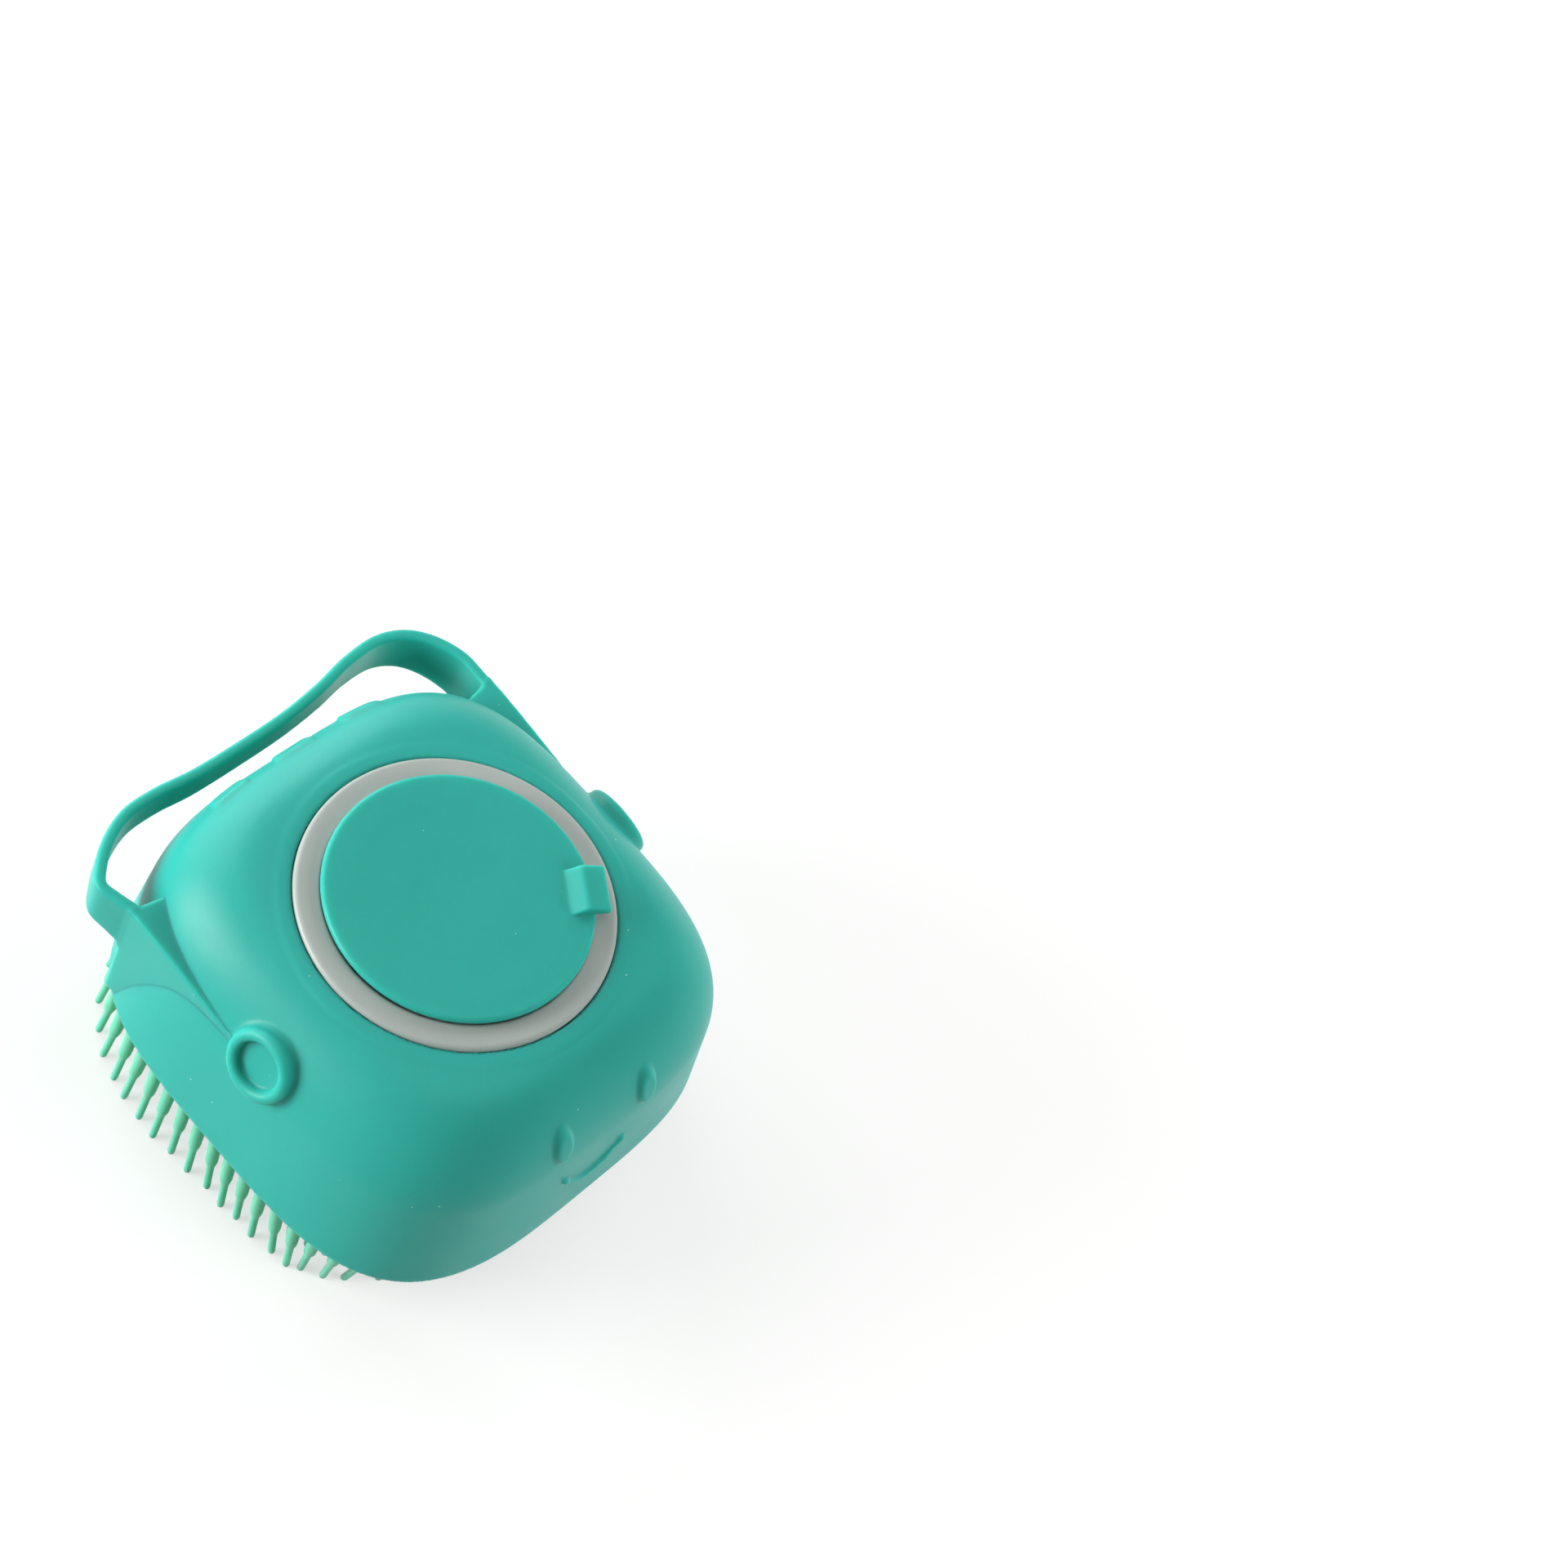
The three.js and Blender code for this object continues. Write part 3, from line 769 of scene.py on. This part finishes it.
def collarField(x, yRow, z):
    y = yRow - axisY
    r = np.hypot(x, y)
    bore = collar["bore"]
    land = collarRadius - collar["land"]
    flange = turnedBar(r, z, bore, collarRadius, mouthTop - collar["thickness"], mouthTop, collar["edge"])
    neckEnd = mouthTop - collar["neckLength"]
    neck = turnedBar(r, z, bore, bore + collar["neckWall"], neckEnd, mouthTop - 1, 0.4)
    field = melt(flange, neck, 0.5)
    ledge = mouthTop - collar["ledge"]
    field = carve(field, disc(r, z, land, ledge, mouthTop + 9, 0.3), 0.25)
    field = meet(field, bore - r, 0.4)
    width, depth, inset = collar["slot"]
    slotLength = land - bore - inset
    aside = np.minimum(np.abs(x), np.abs(y))
    slot = softBlock(aside, r - land + slotLength / 2, width / 2, slotLength / 2, 0.3)
    return carve(field, np.maximum(slot, ledge - depth - z), 0.2)


def retainerField(x, yRow, z):
    y = yRow - axisY
    under = mouthTop - retainer["level"]
    top = under + retainer["thickness"]
    edge = retainer["edge"]
    ring = turnedBar(np.hypot(x, y), z, *retainer["ring"], under, top, edge)
    half = retainer["legThickness"] / 2
    foot = mouthTop - retainer["legFoot"]
    out = np.abs(x) - retainer["legFace"] + half
    leg = softBlock(out, z - (foot + top) / 2, half, (top - foot) / 2, edge)
    leg = meet(leg, np.abs(y) - retainer["legHalf"], edge)
    slit = np.maximum(np.abs(y) - retainer["slitHalf"], z - mouthTop + retainer["slitTop"])
    return melt(ring, carve(leg, slit, edge), 0.6)


collarReach = collarRadius + spare
mouthCollar = skinOf(
    "mouthCollar",
    collarField,
    [
        gridLine(-collarReach, collarReach, collar["step"]),
        gridLine(axisY - collarReach, axisY + collarReach, collar["step"]),
        gridLine(mouthTop - collar["neckLength"] - spare, mouthTop + spare, collar["step"]),
    ],
    collar["step"],
)
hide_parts("collar_ring")
retainerReach = retainer["ring"][1] + spare
retainerFrame = skinOf(
    "retainerFrame",
    retainerField,
    [
        gridLine(-retainerReach, retainerReach, retainer["step"]),
        gridLine(axisY - retainerReach, axisY + retainerReach, retainer["step"]),
        gridLine(mouthTop - retainer["legFoot"] - spare, mouthTop - retainer["level"] + 3, retainer["step"]),
    ],
    retainer["step"],
)
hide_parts("retainer_ring", "spacer_leg_left", "spacer_leg_right")
print("collar:", len(mouthCollar.data.polygons), "faces")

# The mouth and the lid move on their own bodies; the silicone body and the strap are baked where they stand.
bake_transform(siliconeBody)
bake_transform(handStrap)
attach(bristleField, "silicone_body")
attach(mouthCollar, "mouth")
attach(retainerFrame, "mouth")
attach(lidStopper, "lid")


def linear(hexColour):
    channels = [int(hexColour[i:i + 2], 16) / 255 for i in (1, 3, 5)]
    return [c / 12.92 if c <= 0.04045 else ((c + 0.055) / 1.055) ** 2.4 for c in channels] + [1]


# Settings name an input or a property, or give an input's number where names repeat.
def addNode(tree, kind, settings=None, links=None):
    node = tree.nodes.new(kind)
    for key, value in (settings or {}).items():
        if isinstance(key, int) or key in node.inputs:
            node.inputs[key].default_value = value
        else:
            setattr(node, key, value)
    for key, (source, output) in (links or {}).items():
        tree.links.new(source.outputs[output], node.inputs[key])
    return node


def emptyMaterial(name):
    material = bpy.data.materials.new(name)
    material.use_nodes = True
    material.node_tree.nodes.clear()
    return material, material.node_tree


# Moulded silicone rubber: satin and a little see-through, so thin parts glow. Faint flow
# clouds, a fine matt grain from the spark-eroded mould, and the specks of dust it picks up.
siliconeLook = {
    "colour": "#28ABA0",
    "cloud": "#32B2A5",
    "dust": "#C4E6DE",
    "depth": 3.0,  # mm that light travels inside
    "glow": 0.9,
    "gloss": 0.3,  # 0.5 is the plain strength for its IOR; the matt grain takes some away
    "roughness": (0.36, 0.42),
    "ior": 1.41,
    "cloudSize": 24,  # mm
    "waveSize": 9,
    "waveHeight": 0.02,
    "grainSize": 0.5,  # drawn some ten times too coarse, so that it shows at all
    "grainHeight": 0.006,
    "dustSpacing": 2.6,
    "dustRadius": 0.11,
    "dustShare": 0.15,
}
# The bristles are thin, so more light comes through them; besides their subsurface glow, their colour is
# painted paler for that light.
bristleLook = dict(siliconeLook, colour="#6CC6A4", cloud="#78CDAD", dustShare=0.0)


def mouldedSilicone(name, look):
    material, tree = emptyMaterial(name)
    place = {"Vector": (addNode(tree, "ShaderNodeTexCoord"), "Object")}
    cloud = addNode(tree, "ShaderNodeTexNoise", {"Scale": 1000 / look["cloudSize"], "Detail": 3}, place)
    wave = addNode(tree, "ShaderNodeTexNoise", {"Scale": 1000 / look["waveSize"], "Detail": 1}, place)
    grain = addNode(tree, "ShaderNodeTexNoise", {"Scale": 1000 / look["grainSize"], "Detail": 2}, place)
    speck = addNode(tree, "ShaderNodeTexVoronoi", {"Scale": 1000 / look["dustSpacing"]}, place)
    small = addNode(
        tree, "ShaderNodeMath",
        {"operation": "LESS_THAN", 1: look["dustRadius"] / look["dustSpacing"]},
        {0: (speck, "Distance")},
    )
    some = addNode(tree, "ShaderNodeSeparateColor", None, {"Color": (speck, "Color")})
    rare = addNode(
        tree, "ShaderNodeMath", {"operation": "LESS_THAN", 1: look["dustShare"]}, {0: (some, "Red")}
    )
    dust = addNode(tree, "ShaderNodeMath", {"operation": "MULTIPLY"}, {0: (small, 0), 1: (rare, 0)})
    tint = addNode(
        tree, "ShaderNodeMix",
        {"data_type": "RGBA", 6: linear(look["colour"]), 7: linear(look["cloud"])},
        {0: (cloud, 0)},
    )
    colour = addNode(
        tree, "ShaderNodeMix", {"data_type": "RGBA", 7: linear(look["dust"])}, {0: (dust, 0), 6: (tint, 2)}
    )
    smooth, rough = look["roughness"]
    roughness = addNode(
        tree, "ShaderNodeMapRange",
        {"From Min": 0.3, "From Max": 0.7, "To Min": smooth, "To Max": rough},
        {"Value": (wave, 0)},
    )
    waves = addNode(
        tree, "ShaderNodeBump", {"Strength": 1, "Distance": look["waveHeight"] * mm}, {"Height": (wave, 0)}
    )
    surface = addNode(
        tree, "ShaderNodeBump",
        {"Strength": 1, "Distance": look["grainHeight"] * mm},
        {"Height": (grain, 0), "Normal": (waves, 0)},
    )
    shader = addNode(
        tree, "ShaderNodeBsdfPrincipled",
        {
            "IOR": look["ior"],
            "Subsurface Weight": look["glow"],
            "Subsurface Radius": (0.2, 1.0, 0.85),
            "Subsurface Scale": look["depth"] * mm,
            "Specular IOR Level": look["gloss"],
        },
        {"Base Color": (colour, 2), "Roughness": (roughness, 0), "Normal": (surface, 0)},
    )
    addNode(tree, "ShaderNodeOutputMaterial", None, {"Surface": (shader, 0)})
    return material


# Moulded polypropylene, warm light grey: satin, a touch milky, with a fine even texture and a
# slightly uneven gloss.
collarLook = {
    "colour": "#AFB6B1",
    "shade": "#A7AFAA",
    "depth": 0.8,
    "glow": 0.15,
    "roughness": (0.36, 0.48),
    "ior": 1.49,
    "patchSize": 6,  # mm
    "textureSize": 0.45,  # coarser than the real one, so that it shows
    "textureHeight": 0.004,
}


def mouldedPolypropylene(name, look):
    material, tree = emptyMaterial(name)
    place = {"Vector": (addNode(tree, "ShaderNodeTexCoord"), "Object")}
    patch = addNode(tree, "ShaderNodeTexNoise", {"Scale": 1000 / look["patchSize"], "Detail": 2}, place)
    texture = addNode(
        tree, "ShaderNodeTexNoise", {"Scale": 1000 / look["textureSize"], "Detail": 1}, place
    )
    colour = addNode(
        tree, "ShaderNodeMix",
        {"data_type": "RGBA", 6: linear(look["colour"]), 7: linear(look["shade"])},
        {0: (patch, 0)},
    )
    smooth, rough = look["roughness"]
    roughness = addNode(
        tree, "ShaderNodeMapRange",
        {"From Min": 0.3, "From Max": 0.7, "To Min": smooth, "To Max": rough},
        {"Value": (patch, 0)},
    )
    surface = addNode(
        tree, "ShaderNodeBump",
        {"Strength": 1, "Distance": look["textureHeight"] * mm},
        {"Height": (texture, 0)},
    )
    shader = addNode(
        tree, "ShaderNodeBsdfPrincipled",
        {
            "IOR": look["ior"],
            "Subsurface Weight": look["glow"],
            "Subsurface Radius": (1.0, 0.9, 0.8),
            "Subsurface Scale": look["depth"] * mm,
        },
        {"Base Color": (colour, 2), "Roughness": (roughness, 0), "Normal": (surface, 0)},
    )
    addNode(tree, "ShaderNodeOutputMaterial", None, {"Surface": (shader, 0)})
    return material


bodySilicone = mouldedSilicone("mouldedSilicone", siliconeLook)
plasticGrey = mouldedPolypropylene("mouldedPolypropylene", collarLook)
finishes = [
    (siliconeBody, bodySilicone, "silicone"),
    (lidStopper, bodySilicone, "silicone"),
    (handStrap, bodySilicone, "silicone"),
    (bristleField, mouldedSilicone("bristleSilicone", bristleLook), "silicone"),
    (mouthCollar, plasticGrey, "mouth_plastic"),
    (retainerFrame, plasticGrey, "mouth_plastic"),
]
for piece, material, slotName in finishes:
    piece.data.materials.clear()
    piece.data.materials.append(material)
print("materials done")

studio = {
    "floorColour": "#B4B4B2",
    "floorHalf": 2.5,  # m
    "floorLift": 0.62,  # white that is seen added to the floor, so that only the shadow shows
    "whiteFrom": (0.3, 0.7),  # m from the object, over which the floor turns fully white
    "ambient": 0.02,
    # Where it stands as seen from the object (m), its side (m), its power (W), and whether
    # its mirror image shows.
    "keyLamp": ((-0.74, 0.60, 0.20), 0.60, 14.5, True),
    "topLamp": ((0.00, 0.10, 0.97), 0.80, 1.4, True),
    "rearLamp": ((0.15, 0.92, 0.35), 0.90, 6.4, True),
    "frontLamp": ((0.35, -0.85, 0.45), 0.60, 6.0, False),
    "rightLamp": ((0.90, 0.10, 0.40), 0.60, 3.6, False),
}


def seenDirectly(tree):  # 1 for what the camera sees, straight, mirrored or through glass
    path = addNode(tree, "ShaderNodeLightPath")
    most = addNode(
        tree, "ShaderNodeMath", {"operation": "MAXIMUM"},
        {0: (path, "Is Camera Ray"), 1: (path, "Is Glossy Ray")},
    )
    return addNode(
        tree, "ShaderNodeMath", {"operation": "MAXIMUM"}, {0: (most, 0), 1: (path, "Is Transmission Ray")}
    )


world = bpy.data.worlds.new("studio")
world.use_nodes = True
bpy.context.scene.world = world
sky = world.node_tree
sky.nodes.clear()
ambient = addNode(sky, "ShaderNodeBackground", {"Color": (1, 1, 1, 1), "Strength": studio["ambient"]})
white = addNode(sky, "ShaderNodeBackground", {"Color": (1, 1, 1, 1), "Strength": 1})
either = addNode(
    sky, "ShaderNodeMixShader", None, {0: (seenDirectly(sky), 0), 1: (ambient, 0), 2: (white, 0)}
)
addNode(sky, "ShaderNodeOutputWorld", None, {"Surface": (either, 0)})

half = studio["floorHalf"]
floorData = bpy.data.meshes.new("floor")
floorCorners = [(-half, -half, 0), (half, -half, 0), (half, half, 0), (-half, half, 0)]
floorData.from_pydata(floorCorners, [], [(0, 1, 2, 3)])
floor = bpy.data.objects.new("floor", floorData)
bpy.context.collection.objects.link(floor)
floorPaint, tree = emptyMaterial("palePaper")
paper = addNode(tree, "ShaderNodeBsdfDiffuse", {"Color": linear(studio["floorColour"])})
coordinates = addNode(tree, "ShaderNodeTexCoord")
away = addNode(tree, "ShaderNodeVectorMath", {"operation": "LENGTH"}, {0: (coordinates, "Object")})
near, far = studio["whiteFrom"]
fade = addNode(
    tree, "ShaderNodeMapRange",
    {"From Min": near, "From Max": far, "To Min": studio["floorLift"], "To Max": 1},
    {"Value": (away, "Value")},
)
lift = addNode(
    tree, "ShaderNodeMath", {"operation": "MULTIPLY"},
    {0: (fade, "Result"), 1: (seenDirectly(tree), 0)},
)
shine = addNode(tree, "ShaderNodeEmission", {"Color": (1, 1, 1, 1)}, {"Strength": (lift, 0)})
both = addNode(tree, "ShaderNodeAddShader", None, {0: (paper, 0), 1: (shine, 0)})
addNode(tree, "ShaderNodeOutputMaterial", None, {"Surface": (both, 0)})
floorData.materials.append(floorPaint)

middle = (Vector(cadBox[0]) + Vector(cadBox[1])) / 2
for name in ("keyLamp", "topLamp", "rearLamp", "frontLamp", "rightLamp"):
    place, size, power, mirrored = studio[name]
    lamp = bpy.data.lights.new(name, "AREA")
    lamp.shape = "SQUARE"
    lamp.size = size
    lamp.energy = power
    holder = bpy.data.objects.new(name, lamp)
    holder.visible_glossy = mirrored
    holder.location = middle + Vector(place)
    holder.rotation_euler = (-Vector(place)).to_track_quat("-Z", "Y").to_euler()
    bpy.context.collection.objects.link(holder)
bpy.context.scene.view_settings.view_transform = "Standard"
print("studio done")
